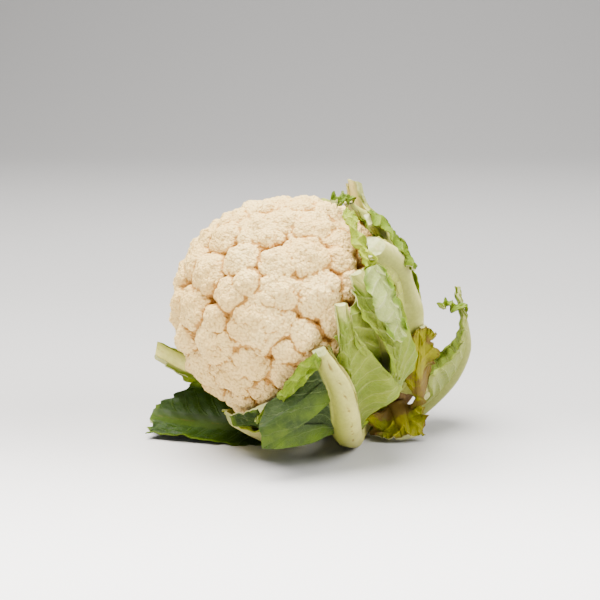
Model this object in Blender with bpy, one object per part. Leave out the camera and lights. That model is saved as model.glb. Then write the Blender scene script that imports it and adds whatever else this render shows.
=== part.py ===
"""A whole cauliflower as picked and trimmed, lying tilted on its leaves. Metres, +Z up.

The curd is a dome of florets on a short branched underside. A stalk carries it, and twenty
trimmed leaves grow out of the stalk in four rings, hug the head and overlap each other. The
head leans over, so that the lowest leaves lie flat on the table at z = 0.

Leaves are laid out in the head's own frame. Turn is the angle round the head's axis in degrees:
0 is its front side, 90 its top, -90 the side that it lies on. Out is the distance from the axis,
and along is the distance from the curd's centre towards its crown, both in millimetres.
"""

import math

import bmesh
import bpy
import numpy as np
from mathutils import Matrix, Vector
from mathutils.bvhtree import BVHTree

MM = 0.001
SHARP_ANGLE = 50.0  # edges that turn by more stay sharp

# The head
CURD_RADIUS = 82.0
CENTRE_HEIGHT = 96.0  # of the curd's centre above the table
HEAD_LEAN = 32.3  # the axis above the horizon, in degrees
HEAD_HEADING = 24.2  # the axis away from -X, towards the front
CURD_POINTS = 3000
CURD_STRETCH = (1.02, 1.0, 0.965)  # along the table's x, y and z: it sags a little
UNDERSIDE_DENSITY = 0.35  # mesh points below the rim, against those on the dome

# Florets
FLORET_REACH = 0.54  # a floret's ball radius against its width
CORE_DEPTH = 13.0  # how far the curd's core lies under its florets
BUD_WIDTH = 11.0  # of the small domes on each floret
BUD_RADIUS = 6.6
FILL_WIDTHS = (22.0, 32.0)
FILL_CROWDING = 0.80
FLORET_LOWEST_TILT = 101.0
FLORET_SINK = 1.5  # a floret's own ball lies this far under its buds
BUD_SINK = 0.62  # share of a bud's radius that is inside its floret
CROWN_SPOTS = 900  # places that are tried for the florets that fill the gaps

# The underside of the curd
DOME_RIM = -0.25  # height of the dome's lower edge, against its radius
UNDERSIDE = ((0.0, 82.0), (22.0, 75.0), (44.0, 62.0), (66.0, 54.5), (90.0, 50.0))  # degrees down, distance
FLUTES = 11
FLUTE_DEPTH = 1.6
FLUTE_REACH = (62.0, 20.0)  # they fade out by this many degrees down, over this many
STALK_FACE = (60.0, 50.0)  # from this many degrees down it is flat, this far below the centre
RIM_BLEND = (6.0, 12.0)  # degrees down where florets give way to branches, and over how many

# The stalk
STALK_TOP = -51.2
STALK_END = -110.0
STALK_RADII = ((-51.2, 18.0), (-60.0, 19.5), (-78.0, 21.0), (-96.0, 23.0), (-108.0, 23.5), (-110.0, 21.5))
STALK_SAG = 8.0  # the cut end hangs this far below the axis
STALK_SIDES = 24

# Leaves
LEAF_ROWS = 10
WALK_STEPS = 16
BLADE_THICKNESS = 1.3
LEAF_GAP = 1.0  # between a leaf and what it lies on
HALVINGS = 3  # how finely it looks between its own points
CLEARING_ROUNDS = 3
EASING_ROUNDS = 3
CUT_SLOPE = 0.9  # the knife's slope through a rib
CURVE_STEPS = 24  # between two stops of a route
SPINE_STEPS = 60  # along a whole rib
GROWS_OVER = 0.4  # share of the length over which the blade widens from the bare stalk
TAPERS_FROM = 0.45  # share of the length where it starts to narrow again
ROLLS_FROM = 0.35  # share of the blade's width where its margin starts to roll outwards
LEAST_BLADE = 0.8
WAVE_RISE = 1.5  # how steeply the waves grow towards the margin
WAVE_SHIFT = 0.23  # the two margins' waves lie this share of a wave off the middle
RIB_STOPS = (0.0, 0.6, 1.0)  # across half the rib
BLADE_STOPS = (0.36, 0.70, 1.0)  # across one side's blade

# turn, tilt from the crown, width: the large florets that give the head its face
LARGE_FLORETS = (
    (-19, 55, 46),
    (-58, 48, 36),
    (-89, 62, 32),
    (-60, 68, 34),
    (-42, 67, 24),
    (-16, 34, 23),
    (4, 54, 29),
    (1, 38, 18),
    (13, 73, 34),
    (22, 48, 24),
    (32, 61, 31),
    (57, 63, 36),
    (63, 49, 24),
    (58, 35, 34),
    (75, 18, 26),
    (37, 78, 20),
    (-25, 11, 30),
    (-75, 26, 31),
    (-11, 77, 21),
    (-22, 75, 16),
    (-33, 82, 24),
    (-50, 84, 20),
    (-69, 84, 18),
    (21, 28, 24),
    (48, 77, 22),
    (-94, 43, 22),
    (-43, 37, 17),
)


def leaf(name, route, before, after, **more):
    """One leaf's measures.

    Route runs from the stalk to the cut. Before and after are the blade's widths to the sides of
    smaller and larger turn. Rib and ridge hold any number of evenly spaced values, foot to cut.
    """
    measures = {
        "name": name,
        "route": route,
        # whether the route's later stops are x, y, z on the table instead of turn, out, along
        "on_table": False,
        "before": before,
        "after": after,
        "rib": (17.0, 13.0),  # the rib's width
        "ridge": (8.0, 5.0),  # the rib's height over the blade
        "cup": (88.0, 88.0),  # radius that each side curls round the head with
        "curl": (0.0, 0.0),  # how far the margins roll outwards, in degrees
        "wave": (2.0, 2.2, 0.0),  # depth, number and phase of the waves at the margins
        "ragged": 2.0,  # how unevenly the margins are torn
        "taper": (0.15, 0.15),  # share of the width that is lost towards the cut
        "bare": (0.0, 0.0),  # share of the length, at the cut, where the blade is trimmed off the rib
        "shoulder": (0.12, 0.12),  # how much lower than the rib the blade's corners end
        "grip": 0.16,  # share of the length that is bare stalk
        "faces": (0.0, 0.0, 84.0),  # a point on the table's frame that the inner side looks at
        "foot_gap": 0.4,  # between its foot and the stalk
        "search": 45.0,  # how far out it looks for what it has to lie over
        "kind": "green",
    }
    measures.update(more)
    return measures


LEAVES = (
    # innermost ring
    leaf(
        "leaf_small_inner",
        ((28, 20, -63), (32, 46, -55), (37, 66, -36), (41, 80, -12), (44, 84, 8)),
        9, 12, rib=(10, 6), ridge=(3, 2), kind="pale",
    ),
    leaf(
        "leaf_inner_right",
        ((-14, 20, -63), (-4, 50, -57), (6, 76, -38), (16, 86, -16), (22, 85, 0)),
        34, 18, rib=(16, 11),
    ),
    leaf(
        "leaf_inner_top",
        ((70, 20, -63), (72, 42, -54), (74, 60, -37), (76, 74, -13), (78, 83, 12)),
        14, 14, rib=(12, 11), ridge=(3, 3), bare=(0.15, 0.15),
    ),
    leaf(
        "leaf_inner_front",
        ((-65, 20, -63), (-62, 48, -56), (-58, 72, -36), (-53, 84, -10), (-50, 86, 11)),
        36, 40, rib=(16, 9), shoulder=(0.02, 0.02), wave=(2.5, 2.6, 0.1), kind="dark",
    ),
    leaf(
        "leaf_inner_back",
        ((180, 20, -63), (-178, 50, -57), (-174, 72, -36), (-170, 84, -10), (-166, 86, 12)),
        38, 38, rib=(17, 11), wave=(3.0, 2.3, 0.5), ragged=3.0,
    ),
    # second ring
    leaf(
        "leaf_top",
        ((76, 21, -79), (79, 43, -69), (84, 59, -50), (88, 71, -30), (90, 82, -12), (90, 100, 7)),
        14, 24, rib=(14, 13), ridge=(4, 4), wave=(1.5, 2.5, 0.1), shoulder=(0.2, 0.25),
        bare=(0.2, 0.2),
    ),
    leaf(
        "leaf_folded",
        (
            (-26, 21, -79), (-20, 54, -74), (-8, 80, -58), (4, 91, -38), (14, 91, -16),
            (21, 88, -2), (27, 84, 10),
        ),
        8, 19, rib=(15, 10, 8, 10), ridge=(5, 1, 1, 3), curl=(60, 10), taper=(0.2, 0.1),
        shoulder=(0.1, 0.05),
    ),
    leaf(
        "leaf_lower_front",
        ((-73, 21, -79), (-80, 52, -68), (-84, 72, -44), (-87, 82, -20), (-88, 84, 3)),
        10, 11, rib=(16, 15), cup=(160, 160), shoulder=(0.0, 0.0), ragged=0.5, kind="pale",
    ),
    leaf(
        "leaf_under",
        ((-124, 21, -79), (25, 28, 18), (-5, 25, 9), (-38, 22, 6), (-72, 24, 8), (-101, 27, 12)),
        30, 30, on_table=True, rib=(15, 13), cup=(20, 300), wave=(3.0, 1.7, 0.3), taper=(0.1, 0.4),
        shoulder=(0.15, -0.02), kind="dark",
    ),
    leaf(
        "leaf_back_middle",
        ((124, 21, -79), (130, 50, -74), (140, 76, -52), (148, 88, -24), (155, 88, 10)),
        44, 44, rib=(18, 14), wave=(4.0, 2.4, 0.6), ragged=4.0,
    ),
    # third ring
    leaf(
        "leaf_upper",
        ((42, 23, -93), (48, 34, -84), (56, 50, -66), (62, 64, -44), (64, 79, -20), (62, 87, 3)),
        14, 17, rib=(14, 12), ridge=(4, 4), wave=(1.5, 2.6, 0.2), shoulder=(0.1, 0.3),
        bare=(0.1, 0.25), ragged=3.0,
    ),
    leaf(
        "leaf_long_rib",
        (
            (-8, 23, -93), (6, 32, -89), (17, 38, -80), (31, 44, -66), (42, 56, -50), (46, 72, -26),
            (40, 83, 8),
        ),
        16, 3, rib=(15, 14), ridge=(7, 7), taper=(0.6, 0.1), wave=(2.0, 2.4, 0.5), ragged=1.0,
        kind="pale",
    ),
    leaf(
        "leaf_front_right",
        (
            (-80, 23, -93), (-68, 44, -86), (-50, 64, -70), (-33, 81, -46), (-20, 87, -26),
            (-8, 87, -8), (3, 86, 5), (11, 84, 13),
        ),
        18, 32, grip=0.32, rib=(15, 10, 10, 13), ridge=(5, 1, 1, 4), wave=(1.5, 1.6, 0.4),
        taper=(0.85, 0.6), shoulder=(0.1, 0.08), bare=(0.15, 0.15),
    ),
    leaf(
        "leaf_front_rib",
        (
            (-117, 23, -96), (-97, 40, -88), (-72, 54, -75), (-51, 70, -60), (-34, 84, -40),
            (-20, 87, -15), (-11, 83, 10),
        ),
        82, 1, grip=0.6, rib=(18, 18, 17, 8), ridge=(7, 7, 7, 4), curl=(115, 0),
        wave=(3.0, 1.9, 0.35), shoulder=(0.16, 0.0), taper=(0.0, 0.15), bare=(0.08, 0.0),
        ragged=3.0,
    ),
    leaf(
        "leaf_back_upper",
        ((92, 23, -93), (100, 52, -84), (110, 72, -60), (118, 82, -30), (124, 87, 0)),
        26, 35, rib=(17, 14), wave=(4.0, 2.2, 0.8), ragged=3.0,
    ),
    leaf(
        "leaf_back_low",
        ((147, 23, -93), (156, 58, -87), (164, 84, -60), (172, 95, -24), (178, 94, 14)),
        42, 44, rib=(18, 15), wave=(4.5, 2.5, 0.15), shoulder=(0.2, 0.16), ragged=4.0,
    ),
    leaf(
        "leaf_left",
        (
            (-162, 23, -93), (-156, 58, -83), (-148, 84, -56), (-142, 93, -24), (-136, 96, 5),
            (-134, 98, 26), (-134, 98, 45),
        ),
        10, 15, rib=(18, 12), ridge=(7, 6), wave=(3.0, 2.0, 0.7), taper=(0.9, 0.85),
    ),
    # old outer leaves at the stalk's cut end
    leaf(
        "leaf_old_upper",
        ((35, 24, -104), (91, 2, 57), (92, -7, 69), (92, -7, 87)),
        9, 9, on_table=True, rib=(6, 4), ridge=(2, 1), cup=(300, 300), faces=(92, 120, 60),
        search=10.0, grip=0.0, ragged=3.0, kind="yellow",
    ),
    leaf(
        "leaf_outer_right",
        (
            (-100, 24, -105), (73, 33, 5), (84, 35, 9), (100, 40, 20), (115, 42, 36), (124, 42, 54),
            (126, 42, 71), (123, 42, 88), (120, 42, 104),
        ),
        34, 22, on_table=True, rib=(13, 13), ridge=(5, 6), cup=(26, 40), faces=(40, 36, 80),
        search=25.0, foot_gap=1.6, grip=0.2, taper=(0.9, 0.6), kind="outer",
    ),
    leaf(
        "leaf_old_low",
        ((-40, 24, -103), (78, 9, 17), (81, 1, 9), (82, -6, 3)),
        14, 19, on_table=True, rib=(12, 6), ridge=(3, 1), cup=(300, 300), faces=(78, 100, -20),
        search=10.0, grip=0.0, ragged=3.0, kind="yellow",
    ),
)

COLOURS = {
    "curd": (0.80, 0.71, 0.56),
    "stalk": (0.52, 0.47, 0.24),
    "green": (0.30, 0.40, 0.13),
    "dark": (0.10, 0.20, 0.03),
    "pale": (0.55, 0.58, 0.22),
    "outer": (0.45, 0.53, 0.26),
    "yellow": (0.45, 0.42, 0.04),
}


def unit(v):
    return v / np.maximum(np.linalg.norm(v, axis=-1, keepdims=True), 1e-12)


def smoothstep(x):
    x = np.clip(x, 0.0, 1.0)
    return x * x * (3.0 - 2.0 * x)


# The head's frame: its axis points to the crown, FRONT is level and UP completes the frame
LEAN, HEADING = math.radians(HEAD_LEAN), math.radians(HEAD_HEADING)
AXIS = np.array((-math.cos(LEAN) * math.cos(HEADING), -math.cos(LEAN) * math.sin(HEADING), math.sin(LEAN)))
FRONT = unit(np.array((-AXIS[1], AXIS[0], 0.0)))
UP = np.cross(AXIS, FRONT)
CENTRE = np.array((0.0, 0.0, CENTRE_HEIGHT))


def head_point(turn, out, along):
    """A point of the head's frame in the table's frame. Turn is in degrees."""
    a = np.radians(turn)
    return (
        CENTRE
        + np.multiply.outer(np.cos(a) * out, FRONT)
        + np.multiply.outer(np.sin(a) * out, UP)
        + np.multiply.outer(along, AXIS)
    )


def directions(turn, tilt):
    """Unit vectors in the head's frame (front, up, axis), tilt degrees away from the crown."""
    turn, tilt = np.radians(turn), np.radians(tilt)
    return np.stack((np.cos(turn) * np.sin(tilt), np.sin(turn) * np.sin(tilt), np.cos(tilt)), axis=-1)


def spiral(count, lowest, highest):
    """Evenly spread unit vectors whose third coordinate runs from highest to lowest."""
    steps = (np.arange(count) + 0.5) / count
    height = highest + (lowest - highest) * steps
    turn = np.arange(count) * math.pi * (3.0 - math.sqrt(5.0))
    ring = np.sqrt(1.0 - height * height)
    return np.stack((np.cos(turn) * ring, np.sin(turn) * ring, height), axis=-1)


def floret_layout():
    """Directions and widths of all florets: the large ones by hand, the rest wherever there is still room."""
    chosen = [(directions(turn, tilt), float(width)) for turn, tilt, width in LARGE_FLORETS]
    draw = np.random.default_rng(7)
    for spot in spiral(CROWN_SPOTS, math.cos(math.radians(FLORET_LOWEST_TILT)), 0.999):
        width = draw.uniform(*FILL_WIDTHS)
        room = all(
            CURD_RADIUS * math.acos(min(1.0, spot @ other)) > FILL_CROWDING * (width + size) / 2.0
            for other, size in chosen
        )
        if room:
            chosen.append((spot, width))
    return np.array([spot for spot, _ in chosen]), np.array([width for _, width in chosen])


def furthest_ball(rays, centres, radii):
    """How far along each ray the last of the balls is left, or 0 where a ray meets none."""
    along = rays @ centres.T
    inside = radii**2 - (np.sum(centres**2, axis=1) - along**2)
    return np.max(np.where(inside > 0.0, along + np.sqrt(np.maximum(inside, 0.0)), 0.0), axis=1)


def curd_distance(rays):
    """The curd's surface as a distance from its centre, for each unit ray in the head's frame."""
    spots, widths = floret_layout()
    radii = FLORET_REACH * widths
    centres = spots * (CURD_RADIUS - radii)[:, None]
    buds = []
    for centre, radius in zip(centres, radii):
        count = max(6, round(4.0 * math.pi * radius**2 / BUD_WIDTH**2))
        knobs = centre + spiral(count, -0.99, 0.99) * (radius - BUD_SINK * BUD_RADIUS)
        buds.append(knobs)
    buds = np.concatenate(buds)
    dome = np.maximum(
        furthest_ball(rays, centres, radii - FLORET_SINK),
        furthest_ball(rays, buds, np.full(len(buds), BUD_RADIUS)),
    )
    dome = np.maximum(dome, CURD_RADIUS - CORE_DEPTH)
    # below the rim the branches draw in to the stalk, to a flat face that the stalk meets
    below = np.degrees(np.arcsin(np.clip(-rays[:, 2], 0.0, 1.0)))
    turn = np.arctan2(rays[:, 1], rays[:, 0])
    branch = np.interp(below, *zip(*UNDERSIDE))
    last, fade = FLUTE_REACH
    fluted = smoothstep(below / fade) * smoothstep((last - below) / fade)
    branch = branch + FLUTE_DEPTH * np.sin(FLUTES * turn) * fluted
    flat_from, depth = STALK_FACE
    flat = depth / np.maximum(np.sin(np.radians(below)), 0.5)
    branch = np.where(below > flat_from, np.minimum(branch, flat), branch)
    share = smoothstep((below - RIM_BLEND[0]) / RIM_BLEND[1])
    return dome * (1.0 - share) + branch * share


def new_object(name, mesh, kind):
    """Adds the mesh as an object with the material of that kind."""
    material = bpy.data.materials.get(kind)
    if material is None:
        material = bpy.data.materials.new(kind)
        material.use_nodes = True
        shader = material.node_tree.nodes["Principled BSDF"]
        shader.inputs["Base Color"].default_value = (*COLOURS[kind], 1.0)
        shader.inputs["Roughness"].default_value = 0.55
        shader.inputs["Metallic"].default_value = 0.0
    mesh.materials.append(material)
    item = bpy.data.objects.new(name, mesh)
    bpy.context.scene.collection.objects.link(item)
    return item


def mesh_from(name, points, faces):
    """A mesh in metres from points in millimetres, its faces turned outwards."""
    work = bmesh.new()
    corners = [work.verts.new(point * MM) for point in points]
    for face in faces:
        work.faces.new([corners[i] for i in face])
    bmesh.ops.recalc_face_normals(work, faces=work.faces)
    mesh = bpy.data.meshes.new(name)
    work.to_mesh(mesh)
    work.free()
    mesh.shade_smooth()
    mesh.set_sharp_from_angle(angle=math.radians(SHARP_ANGLE))
    return mesh


def make_curd():
    """The head of florets: a skin over evenly spread directions, pushed out to the florets' surface."""
    above, under_it = 1.0 - DOME_RIM, UNDERSIDE_DENSITY * (1.0 + DOME_RIM)
    dome_count = round(CURD_POINTS * above / (above + under_it))
    dome = spiral(dome_count, DOME_RIM, 1.0)
    under = spiral(CURD_POINTS - dome_count, -1.0, DOME_RIM)
    rays = np.concatenate((dome, under))
    hull = bmesh.new()
    corners = [hull.verts.new(ray) for ray in rays]
    for index, corner in enumerate(corners):
        corner.index = index
    bmesh.ops.convex_hull(hull, input=hull.verts)
    faces = [[v.index for v in f.verts] for f in hull.faces]
    hull.free()
    points = (rays * curd_distance(rays)[:, None]) @ np.stack((FRONT, UP, AXIS))
    points = CENTRE + points * CURD_STRETCH
    return new_object("curd", mesh_from("curd", points, faces), "curd")


def stalk_centre(along):
    """The stalk's own axis, which sags towards its cut end."""
    share = np.clip((STALK_TOP - np.asarray(along, float)) / (STALK_TOP - STALK_END), 0.0, 1.0)
    return CENTRE + np.multiply.outer(along, AXIS) - np.multiply.outer(STALK_SAG * share**2, UP)


def stalk_radius(along):
    heights, radii = zip(*STALK_RADII[::-1])
    return np.interp(along, heights, radii)


def make_stalk():
    """The stalk, a slightly swollen bar with a bevelled cut end."""
    rings = []
    for along, radius in STALK_RADII:
        turn = np.arange(STALK_SIDES) * 2.0 * math.pi / STALK_SIDES
        rings.append(
            stalk_centre(along) + radius * (np.outer(np.cos(turn), FRONT) + np.outer(np.sin(turn), UP))
        )
    points = np.concatenate(rings + [[stalk_centre(STALK_TOP)], [stalk_centre(STALK_END)]])
    faces = []
    last = len(STALK_RADII) - 1
    for i in range(STALK_SIDES):
        j = (i + 1) % STALK_SIDES
        for ring in range(last):
            a, b = ring * STALK_SIDES, (ring + 1) * STALK_SIDES
            faces.append((a + i, a + j, b + j, b + i))
        faces.append((i, j, len(points) - 2))
        faces.append((last * STALK_SIDES + i, last * STALK_SIDES + j, len(points) - 1))
    return new_object("stalk", mesh_from("stalk", points, faces), "stalk")


def curve_through(stops, count):
    """A smooth curve through the stops, at count + 1 evenly spaced places."""
    stops = np.asarray(stops, float)
    ends = np.concatenate(([2 * stops[0] - stops[1]], stops, [2 * stops[-1] - stops[-2]]))
    t = (np.arange(CURVE_STEPS) / CURVE_STEPS)[:, None]
    fine = []
    for p0, p1, p2, p3 in zip(ends, ends[1:], ends[2:], ends[3:]):
        bend = (2 * p0 - 5 * p1 + 4 * p2 - p3) * t**2 + (3 * p1 - p0 - 3 * p2 + p3) * t**3
        fine.append(0.5 * (2 * p1 + (p2 - p0) * t + bend))
    fine = np.concatenate([*fine, stops[-1:]])
    length = np.concatenate(([0.0], np.cumsum(np.linalg.norm(np.diff(fine, axis=0), axis=1))))
    even = np.linspace(0.0, length[-1], count + 1)
    return np.stack([np.interp(even, length, fine[:, k]) for k in range(3)], axis=1)


def route_points(shape):
    """The stops of a leaf's route in the table's frame. The first is its foot on the side of the stalk."""
    stops = np.array(shape["route"], float)
    points = stops.copy() if shape["on_table"] else head_point(*stops.T)
    turn, _, along = stops[0]
    away = head_point(turn, 1.0, 0.0) - CENTRE
    points[0] = stalk_centre(along) + away * (stalk_radius(along) + shape["foot_gap"])
    return points


def leaf_surface(shape):
    """The leaf's inner surface, normals, ways off the head and thickness, as rows from foot to cut."""
    spine = curve_through(route_points(shape), SPINE_STEPS)
    ahead = unit(np.gradient(spine, axis=0))
    inward = np.array(shape["faces"]) - spine
    inward = unit(inward - np.sum(inward * ahead, axis=1)[:, None] * ahead)
    across = np.cross(inward, ahead)
    draw = np.random.default_rng(len(shape["name"]) * 101 + int(abs(shape["route"][-1][0])))
    u = np.linspace(0.0, 1.0, LEAF_ROWS)
    stops = np.linspace(0.0, 1.0, len(spine))
    half_rib = np.interp(u, np.linspace(0.0, 1.0, len(shape["rib"])), shape["rib"]) / 2.0
    ridge = np.interp(u, np.linspace(0.0, 1.0, len(shape["ridge"])), shape["ridge"])
    grown = smoothstep((u - shape["grip"]) / GROWS_OVER)
    columns = []
    for number, side in enumerate((-1.0, 1.0)):
        width = (shape["before"], shape["after"])[number]
        narrowed = smoothstep((u - TAPERS_FROM) / (1.0 - TAPERS_FROM))
        reach = width * grown * (1.0 - shape["taper"][number] * narrowed)
        if shape["bare"][number] > 0.0:
            reach = reach * smoothstep((1.0 - u) / shape["bare"][number])
        torn = shape["ragged"] * grown * draw.uniform(-1.0, 1.0, LEAF_ROWS)
        reach = half_rib + np.maximum(reach + torn, LEAST_BLADE)
        depth, count, phase = shape["wave"]
        for on_rib, share in [(True, s) for s in RIB_STOPS[number:]] + [(False, s) for s in BLADE_STOPS]:
            edge = 0.0 if on_rib else share
            away = half_rib * share if on_rib else half_rib + (reach - half_rib) * share
            row_at = u * (1.0 - shape["shoulder"][number] * edge**2)
            base, f, x = (
                np.stack([np.interp(row_at, stops, line[:, k]) for k in range(3)], axis=1)
                for line in (spine, inward, across)
            )
            f, x = unit(f), unit(x) * side
            # walk out from the rib: round the head first, then outwards where the margin rolls back
            step = away / WALK_STEPS
            place, normal = base, -f
            for k in range(WALK_STEPS):
                gone = step * (k + 0.5)
                on_blade = np.clip((gone - half_rib) / np.maximum(reach - half_rib, 1.0), 0.0, 1.0)
                rolled = smoothstep((on_blade - ROLLS_FROM) / (1.0 - ROLLS_FROM))
                angle = gone / shape["cup"][number] - math.radians(shape["curl"][number]) * rolled
                angle = angle[:, None]
                place = place + step[:, None] * (np.cos(angle) * x + np.sin(angle) * f)
                normal = -np.cos(angle) * f + np.sin(angle) * x
            swing = np.sin(2.0 * math.pi * (count * u + phase + WAVE_SHIFT * side))
            wave = depth * edge**WAVE_RISE * grown * swing
            place = place + wave[:, None] * normal
            # the way off the head, which the rolled margin keeps too
            level = (away / shape["cup"][number])[:, None]
            way = -np.cos(level) * f + np.sin(level) * x
            thick = np.full(LEAF_ROWS, BLADE_THICKNESS)
            if on_rib:
                thick = thick + ridge * math.sqrt(1.0 - share**2)
            columns.append((side * away.mean(), place, normal, way, thick))
    columns.sort(key=lambda column: column[0])
    return [np.stack([column[k] for column in columns], axis=1) for k in (1, 2, 3, 4)]


def between(grid):
    """The grid with a new row and column halfway between all rows and columns."""
    rows = np.empty((2 * len(grid) - 1, *grid.shape[1:]))
    rows[::2], rows[1::2] = grid, (grid[1:] + grid[:-1]) / 2.0
    both = np.empty((len(rows), 2 * grid.shape[1] - 1, *grid.shape[2:]))
    both[:, ::2], both[:, 1::2] = rows, (rows[:, 1:] + rows[:, :-1]) / 2.0
    return both


def lacking(place, ways, search, underneath):
    """How far each point has to move out to clear what lies under it."""
    for _ in range(HALVINGS):
        place, ways = between(place), between(ways)
    ways = unit(ways)
    need = np.zeros(place.shape[:2])
    for index in np.ndindex(need.shape):
        start = Vector((place[index] + ways[index] * search) * MM)
        spot, _, _, distance = underneath.ray_cast(
            start, Vector(-ways[index]), (search + LEAF_GAP) * MM
        )
        if spot is not None:
            need[index] = search - distance / MM + LEAF_GAP
    cell = 2**HALVINGS
    padded = np.pad(need, cell // 2)
    rows, cols = need.shape
    nearby = [
        padded[i : i + rows : cell, j : j + cols : cell]
        for i in range(cell + 1)
        for j in range(cell + 1)
    ]
    return np.max(nearby, axis=0)


def lie_over(place, ways, search, underneath):
    """Moves the surface out until it clears what it lies on, and eases the rest of it after."""
    moved = np.zeros(place.shape[:2])
    for _ in range(CLEARING_ROUNDS):
        least = moved + lacking(place + moved[:, :, None] * ways, ways, search, underneath)
        moved = least.copy()
        for _ in range(EASING_ROUNDS):
            padded = np.pad(moved, 1, mode="edge")
            near = (padded[:-2, 1:-1] + padded[2:, 1:-1] + padded[1:-1, :-2] + padded[1:-1, 2:]) / 4.0
            moved = np.maximum(least, near)
            moved[0] = 0.0
        moved[0] = 0.0
    return place + moved[:, :, None] * ways


def make_leaf(shape, underneath):
    place, normal, ways, thick = leaf_surface(shape)
    place = lie_over(place, ways, shape["search"], underneath)
    outer = place + normal * thick[:, :, None]
    # the knife cuts the rib at a slant
    ahead = unit(place[-1] - place[-2])
    outer[-1] -= ahead * (CUT_SLOPE * (thick[-1] - BLADE_THICKNESS))[:, None]
    # the foot follows the stalk's round side, and no part of its end reaches inside it
    for surface, held in ((place, True), (outer, False)):
        along = (surface[0] - CENTRE) @ AXIS
        middle = stalk_centre(along)
        away = np.linalg.norm(surface[0] - middle, axis=1)
        least = stalk_radius(along) + shape["foot_gap"]
        surface[0] = middle + unit(surface[0] - middle) * (least if held else np.maximum(away, least))[:, None]
    # the table carries what would sink below it
    lift = np.maximum(0.0, -np.minimum(place[:, :, 2], outer[:, :, 2]))
    place[:, :, 2] += lift
    outer[:, :, 2] += lift
    rows, cols = lift.shape
    points = np.concatenate((place.reshape(-1, 3), outer.reshape(-1, 3)))
    skin = rows * cols

    def at(row, col):
        return row * cols + col

    faces = []
    for r in range(rows - 1):
        for c in range(cols - 1):
            corners = (at(r, c), at(r, c + 1), at(r + 1, c + 1), at(r + 1, c))
            split = (0, 1, 2), (0, 2, 3)
            if (r + c) % 2:
                split = (1, 2, 3), (1, 3, 0)
            for triangle in split:
                faces.append([corners[k] for k in triangle])
                faces.append([corners[k] + skin for k in triangle[::-1]])
    border = [at(0, c) for c in range(cols)]
    border += [at(r, cols - 1) for r in range(1, rows)]
    border += [at(rows - 1, c) for c in range(cols - 2, -1, -1)]
    border += [at(r, 0) for r in range(rows - 2, 0, -1)]
    for a, b in zip(border, border[1:] + border[:1]):
        faces.append((a, b, b + skin))
        faces.append((a, b + skin, a + skin))
    return new_object(shape["name"], mesh_from(shape["name"], points, faces), shape["kind"])


def tree_of(items):
    """One search tree over all the items' faces."""
    points, faces = [], []
    for item in items:
        first = len(points)
        points += [corner.co.copy() for corner in item.data.vertices]
        faces += [[first + i for i in face.vertices] for face in item.data.polygons]
    return BVHTree.FromPolygons(points, faces)


def main():
    for item in list(bpy.data.objects):
        bpy.data.objects.remove(item)
    made = [make_curd(), make_stalk()]
    for shape in LEAVES:
        made.append(make_leaf(shape, tree_of(made)))
    # the origin is on the table, under the middle of the whole
    corners = np.array([v.co for item in made for v in item.data.vertices])
    low, high = corners.min(axis=0), corners.max(axis=0)
    shift = Vector((-(low[0] + high[0]) / 2.0, -(low[1] + high[1]) / 2.0, -low[2]))
    for item in made:
        item.data.transform(Matrix.Translation(shift))
    return made


main()
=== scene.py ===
import math
import time

import bmesh
import bpy
import numpy as np
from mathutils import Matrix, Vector, kdtree
from mathutils.bvhtree import BVHTree


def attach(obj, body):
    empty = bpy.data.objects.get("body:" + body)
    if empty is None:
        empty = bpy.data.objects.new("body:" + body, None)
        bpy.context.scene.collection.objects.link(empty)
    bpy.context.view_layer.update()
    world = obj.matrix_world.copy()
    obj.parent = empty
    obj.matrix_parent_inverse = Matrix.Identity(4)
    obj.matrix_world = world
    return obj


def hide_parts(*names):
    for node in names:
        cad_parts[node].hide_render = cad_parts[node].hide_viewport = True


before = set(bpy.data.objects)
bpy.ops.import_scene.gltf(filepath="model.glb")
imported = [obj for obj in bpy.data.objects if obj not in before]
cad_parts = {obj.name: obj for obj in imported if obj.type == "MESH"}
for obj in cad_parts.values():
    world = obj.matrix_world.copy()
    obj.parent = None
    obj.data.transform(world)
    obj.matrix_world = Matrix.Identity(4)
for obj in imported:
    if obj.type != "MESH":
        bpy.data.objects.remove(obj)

startTime = time.time()
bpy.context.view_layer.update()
bpy.ops.object.select_all(action="DESELECT")

mm = 0.001
head = {
    "centre": (-11.851, -4.961, 96.0),
    "lean": 32.3,
    "heading": 24.2,
    "radius": 82.0,
    "stretch": (1.02, 1.0, 0.965),
}
tableShift = np.array((head["centre"][0], head["centre"][1], 0.0))


def say(words):
    print(f"{time.time() - startTime:6.1f} s  {words}")


def unit(v):
    return v / np.maximum(np.linalg.norm(v, axis=-1, keepdims=True), 1e-12)


def smooth(x):
    x = np.clip(x, 0.0, 1.0)
    return x * x * (3.0 - 2.0 * x)


lean, heading = math.radians(head["lean"]), math.radians(head["heading"])
axis = np.array((-math.cos(lean) * math.cos(heading), -math.cos(lean) * math.sin(heading), math.sin(lean)))
front = unit(np.array((math.cos(heading + math.pi / 2), math.sin(heading + math.pi / 2), 0.0)))
front = front if front[1] < 0 else -front
up = np.cross(axis, front)
centre = np.array(head["centre"])


def headPoint(turn, out, along):
    a = np.radians(turn)
    return centre + np.multiply.outer(
        np.cos(a) * out, front
    ) + np.multiply.outer(np.sin(a) * out, up) + np.multiply.outer(along, axis)


def spiral(count, lowest, highest):
    height = highest + (lowest - highest) * (np.arange(count) + 0.5) / count
    turn = np.arange(count) * math.pi * (3.0 - math.sqrt(5.0))
    ring = np.sqrt(1.0 - height * height)
    return np.stack((np.cos(turn) * ring, np.sin(turn) * ring, height), axis=-1)


def setMark(mesh, name, values):
    layer = mesh.attributes.new(name, "FLOAT_COLOR", "POINT")
    colours = np.ones((len(mesh.vertices), 4), np.float32)
    colours[:, : values.shape[1]] = values
    layer.data.foreach_set("color", colours.ravel())


# node helpers

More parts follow.
